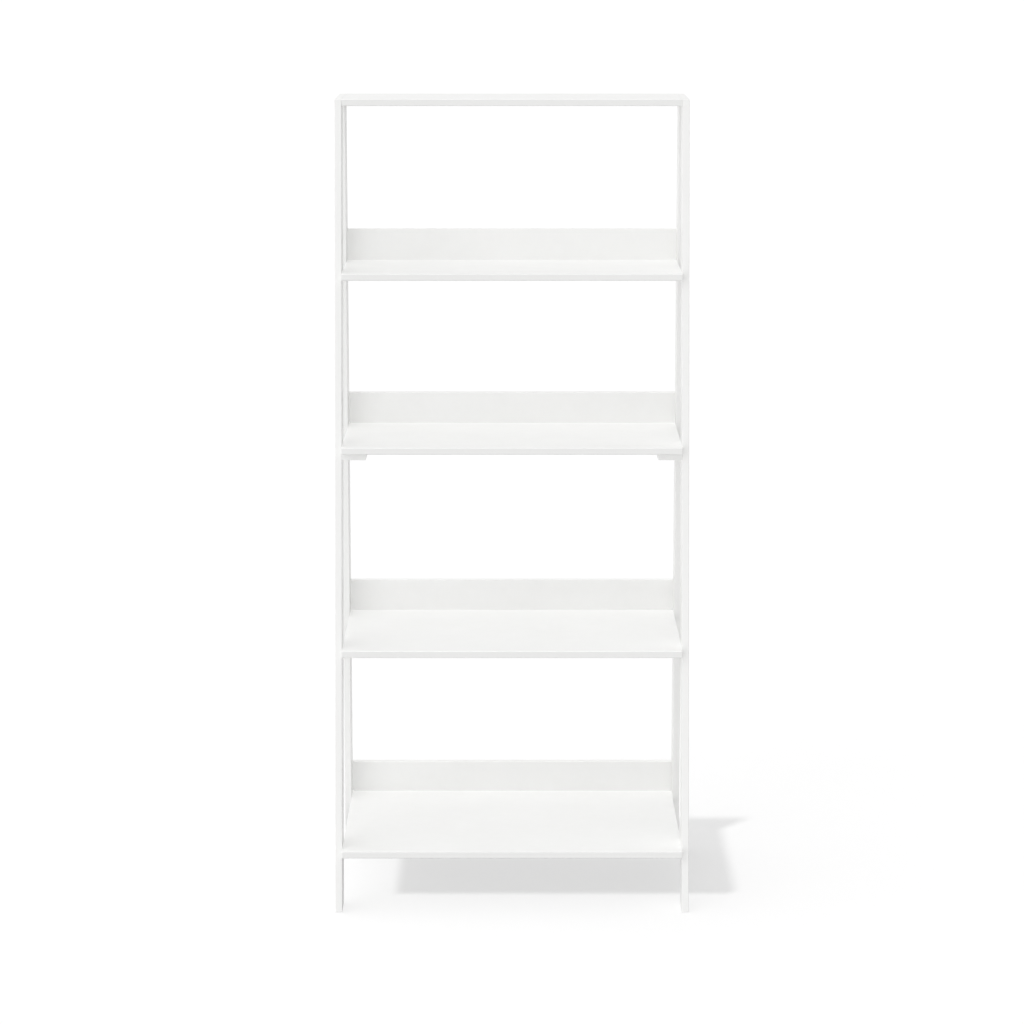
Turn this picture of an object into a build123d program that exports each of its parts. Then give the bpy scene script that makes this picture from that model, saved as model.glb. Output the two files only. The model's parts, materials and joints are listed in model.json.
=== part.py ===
from build123d import *
import os

# A free-standing ladder shelf. Two side frames, each a leaning front leg and a vertical rear
# upright, carry a narrow top board and four open shelves that get deeper towards the floor.
# The origin is on the floor, under the middle of the object. The front faces -Y and Z is up.
# All sizes are in millimetres.

# Whole object
overall_width = 616
overall_depth = 406  # toe of the front leg to the back of the rear upright
overall_height = 1397
top_depth = 175  # front of the leg to the back of the upright, at the very top

# Boards
board = 12  # thickness of every painted board
frame_width = 58  # front-to-back measure of each leg and upright
shelf_overhang = 17  # how far a shelf's front edge stands in front of the leg
shelf_heights = {"upper": 1100, "middle": 803, "lower": 455, "bottom": 111}  # upper surfaces
lip_rise = 56.5  # height of a back lip above its shelf
batten_width = 42
edge_radius = 1.0  # sanded round; the function of each board says which of its edges stay square

# Foot glides
glide_height = 2
glide_radius = 5.5
glide_rim = 0.5
glide_pin_radius = 1.2
glide_pin_length = 14

# Cam fittings, which pull the shelf ends against the side frames
cam_setback = 24  # from the end of a shelf to the middle of its cam
cam_radius = 6
cam_depth = 9
cam_wall_radius = 3.6  # inside of the cup that holds the bolt's head
cam_floor = 2.5
cam_slot_width = 4.6
cam_cross_length = 7
cam_cross_width = 1.2
cam_cross_depth = 1.4
bolt_thread_radius = 2.5
bolt_thread_length = 8
bolt_collar_radius = 3.5
bolt_collar_length = 1.2
bolt_shaft_radius = 1.9
bolt_head_radius = 2.8
bolt_head_length = 4

# Dowels
dowel_radius = 3
dowel_in_frame = 8
dowel_in_shelf = 18
dowel_chamfer = 0.6
small_dowel_radius = 2.5
rail_dowel_half = 14  # length on each side of the joint
lip_dowel_in_lip = 7
lip_dowel_in_shelf = 14

# Countersunk screws with a hexagon socket
screw_head_radius = 4
screw_head_depth = 2.6
screw_shank_radius = 2
screw_tip = 4
socket_across_corners_radius = 1.7
socket_depth = 1.8
lip_screw_length = 32
batten_screw_length = 20
side_screw_length = 45
side_screw_recess = 5  # how deep the long screws are sunk in a batten's inner edge

hole_play = 0.05  # extra radius and depth of a hole, around what sits in it
past_surface = 1  # how far a cut runs past the surface that it opens

# Places worked out from the sizes above
half_inside = overall_width / 2 - board
back_y = overall_depth / 2
lip_front_y = back_y - board
upright_front_y = back_y - frame_width
upright_middle_y = back_y - frame_width / 2
toe_y = -overall_depth / 2
leg_lean = (overall_depth - top_depth) / (overall_height - glide_height)  # run per unit of rise
top_board_height = overall_height
middle_underside = shelf_heights["middle"] - board
batten_underside = middle_underside - board

# Where the fixings sit across the width of a leg or an upright
bolt_from_leg_middle = 10
dowel_from_leg_middle = -16
bolt_from_upright_middle = -11
dowel_from_upright_middle = 9
lip_screw_places = (-220, 0, 220)
lip_dowel_places = (-110, 110)
batten_screw_shares = (1 / 6, 1 / 2, 5 / 6)  # along the length of a batten

sides = {"left": -1, "right": 1}


def leg_front_y(height):
    """The front face of a leaning leg, at a height above the floor."""
    return toe_y + leg_lean * (height - glide_height)


def leg_middle_y(height):
    return leg_front_y(height) + frame_width / 2


def shelf_front_y(surface):
    """The front edge of the shelf whose upper surface is at this height."""
    return leg_front_y(surface - board / 2) - shelf_overhang


def block(x_range, y_range, z_range):
    """A plain block that spans three ranges."""
    size = [high - low for low, high in (x_range, y_range, z_range)]
    middle = [(high + low) / 2 for low, high in (x_range, y_range, z_range)]
    return Pos(*middle) * Box(*size)


def side_range(side, inner, outer):
    """The span in X between two distances from the middle, on one side."""
    return sorted((side * inner, side * outer))


def turned(points, start, direction):
    """A solid of revolution. Each point is (radius, distance along the axis from start)."""
    profile = make_face(Plane.XZ * Polyline(*points, close=True))
    return Plane(origin=start, z_dir=direction) * revolve(profile, Axis.Z)


def outward(side):
    return (side, 0, 0)


def inward(side):
    return (-side, 0, 0)


# Fixings. A function that takes play gives the piece itself at 0, and above 0 the hole it sits in.


def dowel(start, direction, radius, length, play=0.0):
    """A straight dowel with chamfered ends."""
    r = radius + play
    chamfer_size = 0 if play else dowel_chamfer
    points = [(0, -play), (r - chamfer_size, -play)]
    if not play:
        points += [(r, chamfer_size), (r, length - chamfer_size)]
    points += [(r - chamfer_size, length + play), (0, length + play)]
    return turned(points, start, direction)


def screw(start, direction, length, play=0.0):
    """A countersunk screw. Start is the middle of the head's outer face."""
    head = screw_head_radius + play
    shank = screw_shank_radius + play
    points = [(0, 0), (head, 0), (shank, screw_head_depth), (shank, length - screw_tip)]
    if play:
        points.append((play, length + play))
    points.append((0, length + play))
    body = turned(points, start, direction)
    if play:
        return body
    socket = RegularPolygon(socket_across_corners_radius, 6)
    return body - Plane(origin=start, z_dir=direction) * extrude(socket, socket_depth)


def cam_bolt(side, y, height):
    """The bolt that is screwed into a side frame and hooks into a cam."""
    collar_end = bolt_thread_length + bolt_collar_length
    head_middle = bolt_thread_length + cam_setback
    head_start = head_middle - bolt_head_length / 2
    head_end = head_middle + bolt_head_length / 2
    points = [
        (0, 0),
        (bolt_thread_radius, 0),
        (bolt_thread_radius, bolt_thread_length),
        (bolt_collar_radius, bolt_thread_length),
        (bolt_collar_radius, collar_end),
        (bolt_shaft_radius, collar_end),
        (bolt_shaft_radius, head_start),
        (bolt_head_radius, head_start),
        (bolt_head_radius, head_end),
        (0, head_end),
    ]
    start = (side * (half_inside + bolt_thread_length), y, height)
    return turned(points, start, inward(side))


def cam_bolt_hole(side, y, height):
    """The threaded hole in the frame and the wider bore in the end of the shelf."""
    thread = bolt_thread_radius + hole_play
    bore = bolt_collar_radius + hole_play
    frame_end = bolt_thread_length + hole_play
    bore_end = frame_end + cam_setback
    points = [(0, 0), (thread, 0), (thread, frame_end), (bore, frame_end), (bore, bore_end), (0, bore_end)]
    start = (side * (half_inside + frame_end), y, height)
    return turned(points, start, inward(side))


def cam(side, y, underside):
    """A cam lock: a cup, open upwards, with a slot for the bolt and a cross recess below."""
    x = side * (half_inside - cam_setback)
    bottom = (x, y, underside)
    cup = turned([(0, 0), (cam_radius, 0), (cam_radius, cam_depth), (0, cam_depth)], bottom, (0, 0, 1))
    inside_z = (underside + cam_floor, underside + cam_depth)
    hollow_start = (x, y, inside_z[0])
    hollow_height = cam_depth - cam_floor
    hollow = turned(
        [(0, 0), (cam_wall_radius, 0), (cam_wall_radius, hollow_height), (0, hollow_height)],
        hollow_start,
        (0, 0, 1),
    )
    slot_y = (y - cam_slot_width / 2, y + cam_slot_width / 2)
    slot_x = sorted((x, x + side * (cam_radius + past_surface)))
    slot = block(slot_x, slot_y, inside_z)
    arm = cam_cross_length / 2
    half_arm = cam_cross_width / 2
    recess_z = (underside, underside + cam_cross_depth)
    cross = block((x - arm, x + arm), (y - half_arm, y + half_arm), recess_z)
    cross += block((x - half_arm, x + half_arm), (y - arm, y + arm), recess_z)
    return cup - hollow - slot - cross


def cam_pocket(side, y, underside):
    x = side * (half_inside - cam_setback)
    r = cam_radius + hole_play
    depth = cam_depth + hole_play
    points = [(0, -past_surface), (r, -past_surface), (r, depth), (0, depth)]
    return turned(points, (x, y, underside), (0, 0, 1))


def foot_glide(side, y, play=0.0):
    """A nail-on nylon glide: a flat button with a pin that goes up into the leg."""
    r = glide_radius
    pin = glide_pin_radius + play
    pin_end = glide_height + glide_pin_length + play
    points = [
        (0, 0),
        (r - glide_rim, 0),
        (r, glide_rim),
        (r, glide_height),
        (pin, glide_height),
        (pin, pin_end),
        (0, pin_end),
    ]
    return turned(points, (side * (half_inside + board / 2), y, 0), (0, 0, 1))


# The fixings of the whole object, as lists of pieces and of the holes that they sit in


def fixing_rows():
    """(height of the board's upper surface, y of the bolt, y of the dowel), front and back."""
    rows = []
    for surface in (top_board_height, *shelf_heights.values()):
        leg_y = leg_middle_y(surface - board / 2)
        rows.append((surface, leg_y + bolt_from_leg_middle, leg_y + dowel_from_leg_middle))
        rows.append(
            (
                surface,
                upright_middle_y + bolt_from_upright_middle,
                upright_middle_y + dowel_from_upright_middle,
            )
        )
    return rows


def shelf_fixings():
    """Cam bolts, cams and dowels of every board except the middle shelf, which has only dowels."""
    bolts, cams, dowels, holes = [], [], [], []
    dowel_length = dowel_in_frame + dowel_in_shelf
    for side in sides.values():
        for surface, bolt_y, dowel_y in fixing_rows():
            height = surface - board / 2
            start = (side * (half_inside + dowel_in_frame), dowel_y, height)
            dowels.append(dowel(start, inward(side), dowel_radius, dowel_length))
            holes.append(dowel(start, inward(side), dowel_radius, dowel_length, hole_play))
            if surface == shelf_heights["middle"]:
                continue
            bolts.append(cam_bolt(side, bolt_y, height))
            cams.append(cam(side, bolt_y, surface - board))
            holes.append(cam_bolt_hole(side, bolt_y, height))
            holes.append(cam_pocket(side, bolt_y, surface - board))
    return bolts, cams, dowels, holes


def lip_fixings():
    """Screws and dowels that hold each back lip against the back edge of its shelf."""
    screws, dowels, holes = [], [], []
    forward = (0, -1, 0)
    dowel_length = lip_dowel_in_lip + lip_dowel_in_shelf
    for surface in shelf_heights.values():
        height = surface - board / 2
        for x in lip_screw_places:
            start = (x, back_y, height)
            screws.append(screw(start, forward, lip_screw_length))
            holes.append(screw(start, forward, lip_screw_length, hole_play))
        for x in lip_dowel_places:
            start = (x, lip_front_y + lip_dowel_in_lip, height)
            dowels.append(dowel(start, forward, small_dowel_radius, dowel_length))
            holes.append(dowel(start, forward, small_dowel_radius, dowel_length, hole_play))
    return screws, dowels, holes


def batten_range():
    """A batten runs from the front face of the legs to the back of the uprights."""
    return leg_front_y(batten_underside + board / 2), back_y


def batten_fixings():
    """Short screws up into the middle shelf, and long screws out into the side frames."""
    short_screws, long_screws, holes = [], [], []
    front, back = batten_range()
    height = batten_underside + board / 2
    for side in sides.values():
        for share in batten_screw_shares:
            x = side * (half_inside - batten_width / 2)
            start = (x, front + share * (back - front), batten_underside)
            short_screws.append(screw(start, (0, 0, 1), batten_screw_length))
            holes.append(screw(start, (0, 0, 1), batten_screw_length, hole_play))
        inner_edge = half_inside - batten_width
        for y in (leg_middle_y(height), upright_middle_y):
            start = (side * (inner_edge + side_screw_recess), y, height)
            long_screws.append(screw(start, outward(side), side_screw_length))
            holes.append(screw(start, outward(side), side_screw_length, hole_play))
            r = screw_head_radius + hole_play
            points = [(0, 0), (r, 0), (r, side_screw_recess), (0, side_screw_recess)]
            holes.append(turned(points, (side * inner_edge, y, height), outward(side)))
    return short_screws, long_screws, holes


def top_rail_fixings():
    """A dowel at each end of each top rail."""
    dowels, holes = [], []
    height = overall_height - board / 2
    leg_back = leg_front_y(height) + frame_width
    for side in sides.values():
        x = side * (half_inside + board / 2)
        for joint in (leg_back, upright_front_y):
            start = (x, joint - rail_dowel_half, height)
            length = 2 * rail_dowel_half
            dowels.append(dowel(start, (0, 1, 0), small_dowel_radius, length))
            holes.append(dowel(start, (0, 1, 0), small_dowel_radius, length, hole_play))
    return dowels, holes


def glide_fixings():
    glides, holes = [], []
    for side in sides.values():
        for y in (leg_middle_y(glide_height), upright_middle_y):
            glides.append(foot_glide(side, y))
            holes.append(foot_glide(side, y, hole_play))
    return glides, holes


# Boards


def drilled(part, holes):
    """The board with every hole that reaches it."""
    box = part.bounding_box()
    near = []
    for hole in holes:
        other = hole.bounding_box()
        apart = (
            other.max.X < box.min.X
            or other.min.X > box.max.X
            or other.max.Y < box.min.Y
            or other.min.Y > box.max.Y
            or other.max.Z < box.min.Z
            or other.min.Z > box.max.Z
        )
        if not apart:
            near.append(hole)
    return part - near if near else part


def rounded(part, keep_square):
    """The board with its edges sanded round, apart from those that keep_square picks by their middle."""
    edges = [edge for edge in part.edges() if not keep_square(edge.center())]
    return fillet(edges, edge_radius)


def front_leg(side):
    """A leaning board, cut level at the floor and at the top. The edges of its foot stay square."""
    bottom, top = glide_height, overall_height
    outline = Polyline(
        (leg_front_y(bottom), bottom),
        (leg_front_y(bottom) + frame_width, bottom),
        (leg_front_y(top) + frame_width, top),
        (leg_front_y(top), top),
        close=True,
    )
    low_x, high_x = side_range(side, half_inside, half_inside + board)
    face = make_face(Plane.YZ.offset(low_x) * outline)
    leg = extrude(face, high_x - low_x)
    return rounded(leg, lambda at: at.Z < bottom + edge_radius)


def rear_upright(side):
    """A vertical board at the back of the side frame. The edges of its foot stay square."""
    x_range = side_range(side, half_inside, half_inside + board)
    upright = block(x_range, (upright_front_y, back_y), (glide_height, overall_height))
    return rounded(upright, lambda at: at.Z < glide_height + edge_radius)


def top_rail(side):
    """The short rail that closes the top of a side frame. Its ends, which meet the leg and the upright,
    stay square."""
    bottom, top = overall_height - board, overall_height
    outline = Polyline(
        (leg_front_y(bottom) + frame_width, bottom),
        (upright_front_y, bottom),
        (upright_front_y, top),
        (leg_front_y(top) + frame_width, top),
        close=True,
    )
    low_x, high_x = side_range(side, half_inside, half_inside + board)
    face = make_face(Plane.YZ.offset(low_x) * outline)
    rail = extrude(face, high_x - low_x)
    middle_y = (leg_front_y(top) + frame_width + upright_front_y) / 2
    end_reach = (upright_front_y - middle_y) / 2
    return rounded(rail, lambda at: abs(at.Y - middle_y) > end_reach)


def top_board():
    """The narrow board that closes the top, between the two side frames, with all its edges rounded."""
    y_range = (leg_front_y(overall_height), back_y)
    plain = block((-half_inside, half_inside), y_range, (overall_height - board, overall_height))
    return rounded(plain, lambda at: False)


def shelf(surface):
    """A shelf board, from its overhanging front edge back to its lip. Only the front is rounded: its
    ends are sawn square to meet the side frames."""
    front = shelf_front_y(surface)
    plain = block((-half_inside, half_inside), (front, lip_front_y), (surface - board, surface))
    return rounded(plain, lambda at: at.Y > front + edge_radius)


def back_lip(surface):
    """The low board that stands against the back edge of a shelf. Only its top is rounded."""
    z_range = (surface - board, surface + lip_rise)
    plain = block((-half_inside, half_inside), (lip_front_y, back_y), z_range)
    top = surface + lip_rise
    return rounded(plain, lambda at: at.Z < top - edge_radius)


def batten(side):
    """The flat batten under one end of the middle shelf. Its inner face is rounded below and at both
    ends."""
    x_range = side_range(side, half_inside - batten_width, half_inside)
    plain = block(x_range, batten_range(), (batten_underside, middle_underside))
    inner_x = side * (half_inside - batten_width)

    def keep_square(at):
        return abs(at.X - inner_x) > edge_radius or at.Z > middle_underside - edge_radius

    return rounded(plain, keep_square)


def grouped(solids):
    """Identical small pieces as one node of separate solids."""
    return Compound(children=[piece.solid() for piece in solids])


def build():
    """Every node of the object, by name."""
    bolts, cams, dowels, shelf_holes = shelf_fixings()
    lip_screws, lip_dowels, lip_holes = lip_fixings()
    short_screws, long_screws, batten_holes = batten_fixings()
    rail_dowels, rail_holes = top_rail_fixings()
    glides, glide_holes = glide_fixings()
    holes = shelf_holes + lip_holes + batten_holes + rail_holes + glide_holes

    nodes = {"top_board": drilled(top_board(), holes)}
    for name, side in sides.items():
        nodes[f"{name}_front_leg"] = drilled(front_leg(side), holes)
        nodes[f"{name}_rear_upright"] = drilled(rear_upright(side), holes)
        nodes[f"{name}_top_rail"] = drilled(top_rail(side), holes)
        nodes[f"{name}_batten"] = drilled(batten(side), holes)
    for name, surface in shelf_heights.items():
        nodes[f"{name}_shelf"] = drilled(shelf(surface), holes)
        nodes[f"{name}_back_lip"] = drilled(back_lip(surface), holes)
    nodes["cam_locks"] = grouped(cams)
    nodes["cam_bolts"] = grouped(bolts)
    nodes["shelf_dowels"] = grouped(dowels)
    nodes["lip_screws"] = grouped(lip_screws)
    nodes["lip_dowels"] = grouped(lip_dowels)
    nodes["batten_screws"] = grouped(short_screws)
    nodes["batten_side_screws"] = grouped(long_screws)
    nodes["top_rail_dowels"] = grouped(rail_dowels)
    nodes["foot_glides"] = grouped(glides)
    return nodes


os.makedirs("parts", exist_ok=True)
for node_name, node in build().items():
    export_step(node, f"parts/{node_name}.step")
    print(node_name, "solids", len(node.solids()), "volume", round(node.volume))
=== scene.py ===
import json
import math

import bmesh
import bpy
from mathutils import Matrix, Vector


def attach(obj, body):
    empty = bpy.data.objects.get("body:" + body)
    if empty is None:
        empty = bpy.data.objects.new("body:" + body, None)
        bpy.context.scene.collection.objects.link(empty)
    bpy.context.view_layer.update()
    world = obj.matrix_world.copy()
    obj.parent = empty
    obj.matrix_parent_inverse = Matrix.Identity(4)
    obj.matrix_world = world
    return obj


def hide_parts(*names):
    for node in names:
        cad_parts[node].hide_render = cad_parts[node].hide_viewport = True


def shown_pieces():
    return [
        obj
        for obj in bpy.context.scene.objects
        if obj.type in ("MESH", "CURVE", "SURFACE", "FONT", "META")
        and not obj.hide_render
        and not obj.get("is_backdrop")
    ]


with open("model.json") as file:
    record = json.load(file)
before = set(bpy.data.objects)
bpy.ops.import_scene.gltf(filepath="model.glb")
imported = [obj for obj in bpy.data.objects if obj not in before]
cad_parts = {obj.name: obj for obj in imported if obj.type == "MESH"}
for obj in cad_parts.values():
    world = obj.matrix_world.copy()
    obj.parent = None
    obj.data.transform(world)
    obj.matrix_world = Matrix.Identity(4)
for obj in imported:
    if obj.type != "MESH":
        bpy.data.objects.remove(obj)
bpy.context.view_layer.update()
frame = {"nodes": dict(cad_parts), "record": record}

# A white painted ladder shelf in a pale studio. Everything is in metres, in the frame of the CAD
# model: +Z up, the open front faces -Y, the origin on the floor under the middle of the shelf.

WHITE_PAINT = (0.845, 0.845, 0.838, 1.0)
WHITE_PAINT_SHADE = (0.820, 0.820, 0.811, 1.0)
# sawn-edge colour: partly duller paint, partly painted shade that darkens the edges against the tops
EDGE_PAINT_AND_SHADE = (0.835, 0.835, 0.826, 1.0)
STEEL_DULL = (0.60, 0.61, 0.62, 1.0)
STEEL_BRIGHT = (0.72, 0.72, 0.70, 1.0)
ZINC_DARK = (0.40, 0.41, 0.43, 1.0)
ZINC_LIGHT = (0.56, 0.57, 0.58, 1.0)
BEECH_DARK = (0.50, 0.33, 0.19, 1.0)
BEECH_LIGHT = (0.68, 0.50, 0.32, 1.0)
BEECH_RAY = (0.36, 0.21, 0.11, 1.0)
NYLON_DARK = (0.74, 0.74, 0.72, 1.0)
NYLON_LIGHT = (0.82, 0.82, 0.80, 1.0)
FLOOR_DARK = (0.49, 0.49, 0.49, 1.0)
FLOOR_LIGHT = (0.51, 0.51, 0.51, 1.0)
PURE_WHITE = (1.0, 1.0, 1.0, 1.0)


# Node helpers


class Nodes:
    """Adds nodes to a tree and joins them, with plain values given by socket name."""

    def __init__(self, tree):
        self.tree = tree
        self.tree.nodes.clear()

    def add(self, kind, **settings):
        node = self.tree.nodes.new(kind)
        for name, value in settings.items():
            setattr(node, name, value)
        return node

    def feed(self, socket, value):
        """Gives an input a plain value, or joins it to another node's output."""
        if isinstance(value, bpy.types.NodeSocket):
            self.tree.links.new(value, socket)
        else:
            socket.default_value = value

    def put(self, node, **inputs):
        """Feeds inputs by name, with _ for a space."""
        for name, value in inputs.items():
            self.feed(node.inputs[name.replace("_", " ")], value)

    def noise(self, place, scale, detail=2.0, roughness=0.5, stretch=None):
        """Noise between 0 and 1, with scale in features per metre. stretch scales each axis."""
        if stretch is not None:
            mapping = self.add("ShaderNodeMapping")
            self.put(mapping, Vector=place, Scale=stretch)
            place = mapping.outputs["Vector"]
        node = self.add("ShaderNodeTexNoise")
        self.put(node, Vector=place, Scale=scale, Detail=detail, Roughness=roughness)
        return node.outputs["Fac"]

    def math(self, operation, first, second=0.0):
        node = self.add("ShaderNodeMath", operation=operation)
        for socket, value in zip(node.inputs, (first, second)):
            self.feed(socket, value)
        return node.outputs["Value"]

    def spread(self, value, low, high, to_low, to_high):
        """Maps low..high to to_low..to_high, and holds it there."""
        node = self.add("ShaderNodeMapRange")
        self.put(node, Value=value, From_Min=low, From_Max=high, To_Min=to_low, To_Max=to_high)
        return node.outputs["Result"]

    def blend(self, share, first, second):
        """A colour between two others, each a colour or another node's output."""
        node = self.add("ShaderNodeMix", data_type="RGBA")
        colours = [socket for socket in node.inputs if socket.type == "RGBA"]
        self.tree.links.new(share, node.inputs["Factor"])
        for socket, value in zip(colours, (first, second)):
            self.feed(socket, value)
        return next(socket for socket in node.outputs if socket.type == "RGBA")

    def bump(self, height, distance, strength, under=None):
        """Relief whose height, from 0 to 1, stands for distance metres, laid over another relief."""
        node = self.add("ShaderNodeBump")
        self.put(node, Height=height, Distance=distance, Strength=strength)
        if under is not None:
            self.tree.links.new(under, node.inputs["Normal"])
        return node.outputs["Normal"]


def new_material(name):
    """A material with its node helper, its shader and the place on the object in metres."""
    material = bpy.data.materials.new(name)
    material.use_nodes = True
    nodes = Nodes(material.node_tree)
    shader = nodes.add("ShaderNodeBsdfPrincipled")
    output = nodes.add("ShaderNodeOutputMaterial")
    nodes.put(output, Surface=shader.outputs["BSDF"])
    place = nodes.add("ShaderNodeTexCoord").outputs["Object"]
    return material, nodes, shader, place


# Materials


def painted_board(name, broad_axis):
    """Satin white lacquer on fibreboard. broad_axis is the axis that the board's two wide faces look
    along: those are smooth, and the sawn edges round them are a little rougher and duller. The edges'
    darker colour is partly that duller paint and partly painted shade, which keeps the front edges
    darker than the lit tops."""
    material, nodes, shader, place = new_material(name)

    normal = nodes.add("ShaderNodeNewGeometry").outputs["True Normal"]
    split = nodes.add("ShaderNodeSeparateXYZ")
    nodes.put(split, Vector=normal)
    facing = nodes.math("ABSOLUTE", split.outputs[broad_axis])
    sawn = nodes.spread(facing, 0.35, 0.85, 1.0, 0.0)

    cloud = nodes.noise(place, 5.0, detail=3.0, roughness=0.55)
    mottle = nodes.noise(place, 60.0, detail=4.0, roughness=0.6)
    fleck = nodes.noise(place, 1400.0, detail=1.0)
    tone = nodes.math("ADD", nodes.math("MULTIPLY", cloud, 0.55), nodes.math("MULTIPLY", mottle, 0.30))
    tone = nodes.math("ADD", tone, nodes.math("MULTIPLY", fleck, 0.15))
    lightness = nodes.spread(tone, 0.36, 0.64, 0.0, 1.0)
    face_colour = nodes.blend(lightness, WHITE_PAINT_SHADE, WHITE_PAINT)

    fibre = nodes.noise(place, 420.0, detail=5.0, roughness=0.7)
    # painted shade in part: the sawn edges get a darker colour, as front faces shaded under light from
    # above
    edge_dull_and_shade_share = nodes.math("MULTIPLY", sawn, nodes.spread(fibre, 0.35, 0.7, 0.15, 0.85))
    nodes.put(shader, Base_Color=nodes.blend(edge_dull_and_shade_share, face_colour, EDGE_PAINT_AND_SHADE))

    wiped = nodes.noise(place, 14.0, detail=4.0, roughness=0.6)
    face_roughness = nodes.spread(wiped, 0.3, 0.7, 0.30, 0.42)
    roughness = nodes.math("ADD", face_roughness, nodes.math("MULTIPLY", sawn, 0.10))
    nodes.put(shader, Roughness=roughness, IOR=1.5)

    peel = nodes.bump(nodes.noise(place, 480.0, detail=2.0), distance=0.00014, strength=0.8)
    wave = nodes.bump(nodes.noise(place, 22.0, detail=1.0), distance=0.0004, strength=0.4, under=peel)
    rough_edge = nodes.math("MULTIPLY", fibre, sawn)
    nodes.put(shader, Normal=nodes.bump(rough_edge, distance=0.00022, strength=0.8, under=wave))
    return material


def plated_steel(name):
    """Bright zinc-plated steel with a fine grain and blotches of duller plating."""
    material, nodes, shader, place = new_material(name)
    blotch = nodes.noise(place, 260.0, detail=4.0, roughness=0.65)
    nodes.put(shader, Base_Color=nodes.blend(blotch, STEEL_DULL, STEEL_BRIGHT), Metallic=1.0)
    nodes.put(shader, Roughness=nodes.spread(blotch, 0.3, 0.7, 0.24, 0.42))
    grain = nodes.noise(place, 5200.0, detail=2.0)
    nodes.put(shader, Normal=nodes.bump(grain, distance=0.00002, strength=0.5))
    return material


def cast_zinc(name):
    """Dull die-cast zinc, with the fine pitting of the mould."""
    material, nodes, shader, place = new_material(name)
    pitting = nodes.noise(place, 900.0, detail=5.0, roughness=0.7)
    nodes.put(shader, Base_Color=nodes.blend(pitting, ZINC_DARK, ZINC_LIGHT), Metallic=1.0)
    nodes.put(shader, Roughness=nodes.spread(pitting, 0.3, 0.7, 0.42, 0.60))
    nodes.put(shader, Normal=nodes.bump(pitting, distance=0.00005, strength=0.7))
    return material


def beech(name):
    """Bare beech, with its grain along X and its short dark rays."""
    material, nodes, shader, place = new_material(name)
    grain = nodes.noise(place, 900.0, detail=6.0, roughness=0.6, stretch=(0.06, 1.0, 1.0))
    rays = nodes.noise(place, 2600.0, detail=2.0, stretch=(0.2, 1.0, 1.0))
    colour = nodes.blend(nodes.spread(grain, 0.3, 0.7, 0.0, 1.0), BEECH_DARK, BEECH_LIGHT)
    ray_share = nodes.spread(rays, 0.62, 0.72, 0.0, 0.45)
    nodes.put(shader, Base_Color=nodes.blend(ray_share, colour, BEECH_RAY))
    nodes.put(shader, Roughness=nodes.spread(grain, 0.3, 0.7, 0.55, 0.75))
    nodes.put(shader, Normal=nodes.bump(grain, distance=0.00008, strength=0.6))
    return material


def moulded_nylon(name):
    """White nylon with the fine spark-eroded grain of its mould."""
    material, nodes, shader, place = new_material(name)
    grain = nodes.noise(place, 3000.0, detail=3.0)
    nodes.put(shader, Base_Color=nodes.blend(grain, NYLON_DARK, NYLON_LIGHT))
    nodes.put(shader, Roughness=nodes.spread(grain, 0.3, 0.7, 0.42, 0.56))
    nodes.put(shader, Normal=nodes.bump(grain, distance=0.00003, strength=0.6))
    return material


def make_materials():
    """The material for each slot in the record."""
    return {
        "frame_paint": painted_board("frame_paint_satin", "X"),
        "shelf_paint": painted_board("shelf_paint_satin", "Z"),
        "lip_paint": painted_board("lip_paint_satin", "Y"),
        "steel": plated_steel("plated_steel"),
        "cam_zinc": cast_zinc("cast_zinc"),
        "beech": beech("bare_beech"),
        "nylon": moulded_nylon("moulded_nylon"),
    }


def paint_frame(materials):
    """Gives every CAD node the material of its slot in the record."""
    for entry in frame["record"]["subparts"]:
        node = frame["nodes"][entry["node"]]
        for slot in node.material_slots:
            slot.material = materials[entry["material_slot"]]


# Fixings. Each replaces its plain CAD solid, in the same place and with the same outer size, and has
# what the plain one lacks: threads on the screws and bolts, glue grooves on the dowels.

MM = 0.001
RING_SIDES = 24  # a multiple of 6, so that a ring has a point at each corner of a hexagon
WELD = 0.01 * MM
SHARP_EDGE = math.radians(40)

THREAD_STEPS = 8  # rings for each turn of a thread
SCREW_PITCH = 1.8 * MM
SCREW_HEAD_DEPTH = 2.6 * MM
SCREW_NECK = 2.0 * MM  # plain length between a screw's head and its thread
SCREW_TIP = 4.0 * MM
SCREW_BLUNT = 0.2 * MM  # how far the thread ends short of the whole length
SCREW_HEAD_EDGE = 0.1 * MM
SCREW_ROOT = 0.72  # of the shank's radius, between the turns of the thread
SOCKET_APOTHEM = 1.47 * MM
SOCKET_DEPTH = 1.8 * MM
SOCKET_RIM = 0.15 * MM
SOCKET_POINT_DEPTH = 0.4 * MM  # the drill's mark in the floor of the socket
SOCKET_POINT_RADIUS = 0.3 * MM

BOLT_PITCH = 1.4 * MM
BOLT_ROOT = 0.8  # of the thread's radius, between its turns
BOLT_LEAD = 0.8  # of the thread's size, where it starts
BOLT_EDGE = 0.15 * MM
BOLT_THREAD_RADIUS = 2.5 * MM
BOLT_THREAD_LENGTH = 8.0 * MM
BOLT_COLLAR_LENGTH = 1.2 * MM
BOLT_SHAFT_RADIUS = 1.9 * MM
BOLT_HEAD_RADIUS = 2.8 * MM
BOLT_HEAD_LENGTH = 4.0 * MM
BOLT_HEAD_STEPS = 8
BOLT_HEAD_SPREAD = math.radians(60)  # how far the head's curve reaches to each side of its middle
BOLT_NOSE = 0.35  # of the head's radius, at its flat end

DOWEL_CHAMFER = 0.6 * MM
DOWEL_GROOVES = 12
DOWEL_GROOVE_HALF = 0.05  # half the depth of a groove, as a share of the radius


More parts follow.
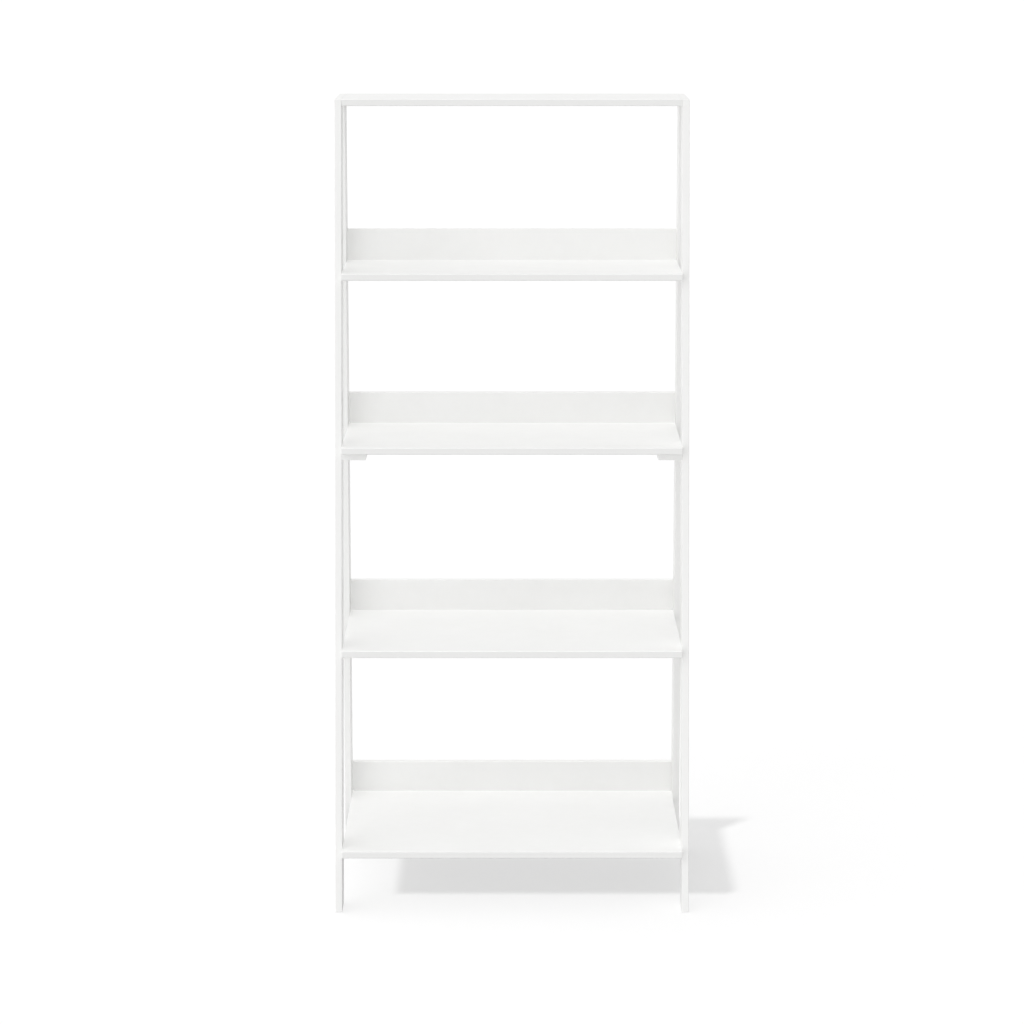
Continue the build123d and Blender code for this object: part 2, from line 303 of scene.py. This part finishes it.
def solid_boxes(node_name):
    """The lowest and highest corner of each separate solid of a CAD node."""
    builder = bmesh.new()
    builder.from_mesh(frame["nodes"][node_name].data)
    bmesh.ops.remove_doubles(builder, verts=builder.verts, dist=WELD)
    unseen = set(builder.verts)
    boxes = []
    while unseen:
        reached = [unseen.pop()]
        for vert in reached:
            for edge in vert.link_edges:
                other = edge.other_vert(vert)
                if other in unseen:
                    unseen.remove(other)
                    reached.append(other)
        spans = [[vert.co[axis] for vert in reached] for axis in range(3)]
        boxes.append((Vector(map(min, spans)), Vector(map(max, spans))))
    builder.free()
    return sorted(boxes, key=lambda box: tuple(box[0]))


def hexagon(apothem):
    """A function that gives the radius of a hexagon at an angle."""
    sixth = math.tau / 6
    return lambda angle: apothem / math.cos(angle % sixth - sixth / 2)


def thread(start, end, pitch, crest, root, reach):
    """Rings of a V thread between two heights. reach(height) scales its radius, for a tip or a lead."""
    def ring(height):
        def radius(angle):
            phase = (height / pitch - angle / math.tau) % 1.0
            tooth = 1.0 - abs(2.0 * phase - 1.0)
            run_out = min(1.0, (height - start) / pitch)
            return reach(height) * (root + (crest - root) * tooth * run_out)
        return height, radius

    steps = round((end - start) / pitch * THREAD_STEPS)
    return [ring(start + (end - start) * step / steps) for step in range(steps + 1)]


def screw_rings(length, head):
    """A countersunk wood screw with a hexagon socket: from the floor of the socket, over the head's
    face and down the shank to the tip."""
    shank = head / 2
    root = shank * SCREW_ROOT
    neck_end = SCREW_HEAD_DEPTH + SCREW_NECK

    def taper(height):
        return min(1.0, (length - height) / SCREW_TIP)

    outline = [
        (SOCKET_DEPTH + SOCKET_POINT_DEPTH, SOCKET_POINT_RADIUS),
        (SOCKET_DEPTH, hexagon(SOCKET_APOTHEM)),
        (SOCKET_RIM, hexagon(SOCKET_APOTHEM)),
        (0.0, hexagon(SOCKET_APOTHEM + SOCKET_RIM)),
        (0.0, head - 2 * SCREW_HEAD_EDGE),
        (SCREW_HEAD_EDGE, head - SCREW_HEAD_EDGE),
        (SCREW_HEAD_DEPTH, shank),
        (neck_end, shank),
        (neck_end, root),
    ]
    return outline + thread(neck_end, length - SCREW_BLUNT, SCREW_PITCH, shank, root, taper)


def bolt_rings(length, collar):
    """A cam bolt: its thread, its collar, its shaft and the round head that the cam draws in."""
    root = BOLT_THREAD_RADIUS * BOLT_ROOT
    collar_end = BOLT_THREAD_LENGTH + BOLT_COLLAR_LENGTH
    head_start = length - BOLT_HEAD_LENGTH
    head_middle = head_start + BOLT_HEAD_LENGTH / 2

    def lead(height):
        return min(1.0, BOLT_LEAD + height / BOLT_THREAD_LENGTH)

    rings = thread(0.0, BOLT_THREAD_LENGTH, BOLT_PITCH, BOLT_THREAD_RADIUS, root, lead)
    rings += [
        (BOLT_THREAD_LENGTH, collar - BOLT_EDGE),
        (BOLT_THREAD_LENGTH + BOLT_EDGE, collar),
        (collar_end - BOLT_EDGE, collar),
        (collar_end, collar - BOLT_EDGE),
        (collar_end, BOLT_SHAFT_RADIUS),
        (head_start, BOLT_SHAFT_RADIUS),
    ]
    for step in range(BOLT_HEAD_STEPS):
        turn = BOLT_HEAD_SPREAD * (2 * step / BOLT_HEAD_STEPS - 1)
        height = head_middle + BOLT_HEAD_LENGTH / 2 * math.sin(turn)
        rings.append((height, BOLT_HEAD_RADIUS * math.cos(turn)))
    return rings + [(length, BOLT_HEAD_RADIUS * BOLT_NOSE)]


def dowel_rings(length, radius):
    """A dowel with chamfered ends and straight glue grooves."""
    def grooved(angle):
        wave = math.cos(DOWEL_GROOVES * angle)
        return radius * (1.0 - DOWEL_GROOVE_HALF + DOWEL_GROOVE_HALF * wave)

    return [
        (0.0, radius - DOWEL_CHAMFER),
        (DOWEL_CHAMFER, grooved),
        (length - DOWEL_CHAMFER, grooved),
        (length, radius - DOWEL_CHAMFER),
    ]


def skin(builder, rings, place):
    """Joins a stack of rings with faces and closes both ends. A ring is a height and a radius, which is
    a number or a function of the angle."""
    rows = []
    for height, radius in rings:
        row = []
        for side in range(RING_SIDES):
            angle = side * math.tau / RING_SIDES
            reach = radius(angle) if callable(radius) else radius
            point = Vector((reach * math.cos(angle), reach * math.sin(angle), height))
            row.append(builder.verts.new(place @ point))
        rows.append(row)
    for lower, upper in zip(rows, rows[1:]):
        for side in range(RING_SIDES):
            after = (side + 1) % RING_SIDES
            builder.faces.new((lower[side], lower[after], upper[after], upper[side]))
    builder.faces.new(reversed(rows[0]))
    builder.faces.new(rows[-1])


def fixing(node_name, rings_of, travel_of, material):
    """One piece for a whole CAD node of fixings, built where the node's solids are. rings_of gives the
    rings for a length and a radius. travel_of gives the way a fixing points, for its middle."""
    builder = bmesh.new()
    for low, high in solid_boxes(node_name):
        middle = (low + high) / 2
        travel = travel_of(middle)
        size = high - low
        length = abs(size.dot(travel))
        radius = (sum(size) - length) / 4  # the other two sizes are both the diameter
        start = middle - travel * length / 2
        turn = travel.to_track_quat("Z", "Y").to_matrix().to_4x4()
        skin(builder, rings_of(length, radius), Matrix.Translation(start) @ turn)
    bmesh.ops.recalc_face_normals(builder, faces=builder.faces)
    mesh = bpy.data.meshes.new(f"{node_name}_detailed")
    builder.to_mesh(mesh)
    builder.free()
    mesh.polygons.foreach_set("use_smooth", [True] * len(mesh.polygons))
    mesh.set_sharp_from_angle(angle=SHARP_EDGE)
    mesh.materials.append(material)
    piece = bpy.data.objects.new(f"{node_name}_detailed", mesh)
    bpy.context.scene.collection.objects.link(piece)
    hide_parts(node_name)
    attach(piece, "root")


def backwards(middle):
    return Vector((0.0, -1.0, 0.0))


def upwards(middle):
    return Vector((0.0, 0.0, 1.0))


def outwards(middle):
    return Vector((math.copysign(1.0, middle.x), 0.0, 0.0))


def inwards(middle):
    return -outwards(middle)


# CAD node: the function for its rings, and the one for the way it points
FIXINGS = {
    "lip_screws": (screw_rings, backwards),
    "batten_screws": (screw_rings, upwards),
    "batten_side_screws": (screw_rings, outwards),
    "cam_bolts": (bolt_rings, inwards),
    "shelf_dowels": (dowel_rings, inwards),
    "lip_dowels": (dowel_rings, backwards),
    "top_rail_dowels": (dowel_rings, backwards),
}


def make_fixings(materials):
    """Builds every row of FIXINGS, with the material of its slot in the record."""
    slots = {entry["node"]: entry["material_slot"] for entry in frame["record"]["subparts"]}
    for node_name, (rings_of, travel_of) in FIXINGS.items():
        slot = slots[node_name]
        fixing(node_name, rings_of, travel_of, materials[slot])


# Studio

FLOOR_RADIUS = 400.0
FLOOR_SIDES = 96
FLOOR_GLOW = 0.47  # added to the light that falls on it, so that it looks white


def studio_floor():
    """A very large pale floor, which fills the main view."""
    mesh = bpy.data.meshes.new("studio_floor")
    builder = bmesh.new()
    bmesh.ops.create_circle(builder, cap_ends=True, segments=FLOOR_SIDES, radius=FLOOR_RADIUS)
    builder.to_mesh(mesh)
    builder.free()
    floor = bpy.data.objects.new("studio_floor", mesh)
    bpy.context.scene.collection.objects.link(floor)
    # The lower half of the surround lights the shelf from below in the floor's place.
    floor.visible_diffuse = False
    floor.visible_shadow = False

    material, nodes, shader, place = new_material("pale_floor")
    cloud = nodes.noise(place, 0.8, detail=3.0)
    scuffs = nodes.noise(place, 9.0, detail=3.0)
    nodes.put(shader, Base_Color=nodes.blend(cloud, FLOOR_DARK, FLOOR_LIGHT))
    nodes.put(shader, Roughness=nodes.spread(scuffs, 0.3, 0.7, 0.75, 0.9))
    nodes.put(shader, Specular_IOR_Level=0.1)
    nodes.put(shader, Emission_Color=PURE_WHITE, Emission_Strength=FLOOR_GLOW)
    mesh.materials.append(material)
    floor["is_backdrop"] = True
    return floor


# The surround's strength. Its bands are given by the height of a direction: 1 is straight up, 0 level
# and -1 straight down.
WORLD_LEFT = 1.02
WORLD_RIGHT = 0.33
WORLD_BELOW = 1.37  # times as strong below the horizon, for the light that a floor gives back
BELOW_BAND = (-0.1, 0.0)  # where it fades to that
WORLD_NADIR = 0.25  # of that strength straight below, where the shelf would shade the floor
NADIR_BAND = (-0.75, -0.45)  # where it fades to that
WORLD_HORIZON = 1.0
HORIZON_BAND = (-0.06, 0.12, 0.22)  # where the band at the horizon starts, begins to fade and ends


def studio_world():
    """A soft white surround, brighter on the left, with an even white band at the horizon."""
    world = bpy.data.worlds.new("studio_world")
    world.use_nodes = True
    nodes = Nodes(world.node_tree)
    split = nodes.add("ShaderNodeSeparateXYZ")
    nodes.put(split, Vector=nodes.add("ShaderNodeTexCoord").outputs["Generated"])
    across = split.outputs["X"]
    height = split.outputs["Z"]

    side = nodes.spread(across, -1.0, 1.0, WORLD_LEFT, WORLD_RIGHT)
    below = nodes.spread(height, BELOW_BAND[0], BELOW_BAND[1], WORLD_BELOW, 1.0)
    nadir = nodes.spread(height, NADIR_BAND[0], NADIR_BAND[1], WORLD_NADIR, 1.0)
    surround = nodes.math("MULTIPLY", nodes.math("MULTIPLY", side, below), nadir)

    band_starts, band_fades, band_ends = HORIZON_BAND
    above_start = nodes.math("GREATER_THAN", height, band_starts)
    band = nodes.math("MULTIPLY", above_start, nodes.spread(height, band_fades, band_ends, 1.0, 0.0))
    outside_band = nodes.math("MULTIPLY", surround, nodes.math("SUBTRACT", 1.0, band))
    strength = nodes.math("ADD", outside_band, nodes.math("MULTIPLY", band, WORLD_HORIZON))

    background = nodes.add("ShaderNodeBackground")
    nodes.put(background, Color=PURE_WHITE, Strength=strength)
    output = nodes.add("ShaderNodeOutputWorld")
    nodes.put(output, Surface=background.outputs["Background"])
    bpy.context.scene.world = world


# Suns. A travel is the way the light goes, a softness the angle that the sun fills.
KEY_TRAVEL = (0.92, 1.15, -1.0)  # from the front, the left and above
KEY_STRENGTH = 0.20
KEY_SOFTNESS = math.radians(35)
FLOOR_KEY_STRENGTH = 2.1
FLOOR_KEY_SOFTNESS = math.radians(6)
FLOOR_KEY_BLOCKERS = ("bottom_shelf", "bottom_back_lip")
FILL_TRAVEL = (0.12, 0.40, -0.90)  # from higher up, and less from the left
FILL_STRENGTH = 1.50


def sun(name, travel, strength, softness):
    """A distant soft light."""
    lamp = bpy.data.lights.new(name, "SUN")
    lamp.energy = strength
    lamp.angle = softness
    light = bpy.data.objects.new(name, lamp)
    light.rotation_mode = "QUATERNION"
    light.rotation_quaternion = Vector(travel).to_track_quat("-Z", "Y")
    bpy.context.scene.collection.objects.link(light)
    return light


def collected(name, items):
    """A collection that isn't in the scene, for light linking."""
    group = bpy.data.collections.new(name)
    for item in items:
        group.objects.link(item)
    return group


def studio_lights(floor):
    """A soft key, a firmer key on the floor alone, where the bottom shelf and its lip shade it, and a
    fill without shadows on the shelf alone."""
    sun("key", KEY_TRAVEL, KEY_STRENGTH, KEY_SOFTNESS)
    floor_key = sun("floor_key", KEY_TRAVEL, FLOOR_KEY_STRENGTH, FLOOR_KEY_SOFTNESS)
    blockers = [frame["nodes"][name] for name in FLOOR_KEY_BLOCKERS]
    floor_key.light_linking.receiver_collection = collected("lit_by_floor_key", [floor])
    floor_key.light_linking.blocker_collection = collected("shades_floor_key", blockers)
    fill = sun("fill", FILL_TRAVEL, FILL_STRENGTH, KEY_SOFTNESS)
    fill.data.use_shadow = False
    fill.light_linking.receiver_collection = collected("lit_by_fill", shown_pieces())


# The camera, fitted to measured places of the object's corners in the photo
CAMERA_PLACE = (0.0, -5.542, 1.712)
CAMERA_PITCH = math.radians(10.611)  # how far the camera looks down
CAMERA_LENS = 112.16  # focal length and sensor width in mm, as Blender wants them
SENSOR_WIDTH = 36.0


def camera():
    """The main view, from the front and a little above."""
    data = bpy.data.cameras.new("camera")
    data.lens = CAMERA_LENS
    data.sensor_width = SENSOR_WIDTH
    data.clip_end = FLOOR_RADIUS * 2
    view = bpy.data.objects.new("camera", data)
    view.location = CAMERA_PLACE
    view.rotation_euler = (math.pi / 2 - CAMERA_PITCH, 0.0, 0.0)
    bpy.context.scene.collection.objects.link(view)
    bpy.context.scene.camera = view


bpy.context.scene.view_settings.view_transform = "Standard"
camera()
materials = make_materials()
paint_frame(materials)
make_fixings(materials)
studio_world()
studio_lights(studio_floor())

bpy.context.view_layer.update()
